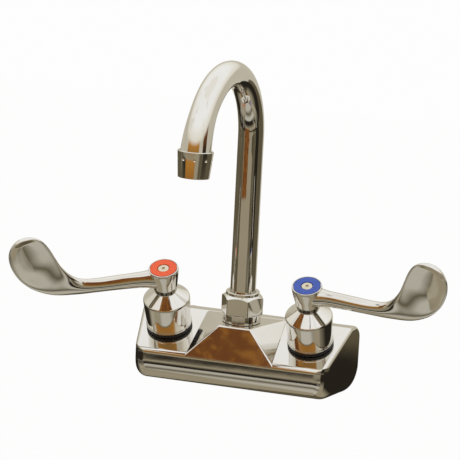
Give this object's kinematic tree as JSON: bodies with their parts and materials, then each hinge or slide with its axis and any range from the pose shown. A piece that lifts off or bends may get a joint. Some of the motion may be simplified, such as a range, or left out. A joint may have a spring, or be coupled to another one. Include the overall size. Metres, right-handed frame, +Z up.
{
  "type": "commercial wall faucet",
  "caption": "Chrome wall-mount commercial hand-sink faucet with a sloping body, a swivelling gooseneck spout and wrist-blade handles.",
  "frame": {"origin": "on the wall face of the body, midway between the two inlet axes", "axes": "+Y towards the wall, +Z up along the spout's straight leg, +X to the cold side"},
  "size_m": [0.2946, 0.1723, 0.2372],
  "materials": {
    "chrome": "polished plate on cast and drawn brass",
    "brass": "machined",
    "rubber": "matt",
    "ceramic": "lapped",
    "fibre": "pressed fibre",
    "nylon": "moulded",
    "steel": "turned stainless",
    "hot_index": "glossy red",
    "cold_index": "glossy blue"
  },
  "bodies": {
    "body": {"faucet_body": "chrome", "hot_inlet_shank": "brass", "hot_inlet_washer": "fibre", "hot_inlet_locknut": "brass", "cold_inlet_shank": "brass", "cold_inlet_washer": "fibre", "cold_inlet_locknut": "brass", "hot_seat_seal": "rubber", "hot_fixed_disc": "ceramic", "hot_cartridge_shell": "brass", "hot_cartridge_o_ring": "rubber", "hot_bonnet_ring": "rubber", "hot_bonnet": "chrome", "cold_seat_seal": "rubber", "cold_fixed_disc": "ceramic", "cold_cartridge_shell": "brass", "cold_cartridge_o_ring": "rubber", "cold_bonnet_ring": "rubber", "cold_bonnet": "chrome", "spout_collar": "chrome", "swivel_nut": "chrome"},
    "hot_valve": {"hot_moving_disc": "ceramic", "hot_stem": "brass", "hot_stem_o_ring_1": "rubber", "hot_stem_o_ring_2": "rubber", "hot_stem_clip": "steel", "hot_handle": "chrome", "hot_index_button": "hot_index", "hot_handle_screw": "steel"},
    "cold_valve": {"cold_moving_disc": "ceramic", "cold_stem": "brass", "cold_stem_o_ring_1": "rubber", "cold_stem_o_ring_2": "rubber", "cold_stem_clip": "steel", "cold_handle": "chrome", "cold_index_button": "cold_index", "cold_handle_screw": "steel"},
    "spout": {"spout_tube": "chrome", "spout_ferrule": "brass", "spout_o_ring_1": "rubber", "spout_o_ring_2": "rubber", "spout_thrust_washer": "nylon", "aerator_housing": "chrome", "aerator_washer": "rubber", "aerator_insert": "nylon"}
  },
  "joints": [
    {"name": "hot_handle_turn", "type": "hinge", "parent": "body", "child": "hot_valve", "pos_m": [-0.0508, -0.0335, 0.01272], "axis": [0, -0.4067, 0.9135], "range_deg": [-27, 63]},
    {"name": "cold_handle_turn", "type": "hinge", "parent": "body", "child": "cold_valve", "pos_m": [0.0508, -0.0335, 0.01272], "axis": [0, -0.4067, 0.9135], "range_deg": [-79, 11]},
    {"name": "spout_swivel", "type": "hinge", "parent": "body", "child": "spout", "pos_m": [0, -0.03, 0.021], "axis": [0, 0, 1], "range_deg": [-84.6, 95.4]}
  ]
}
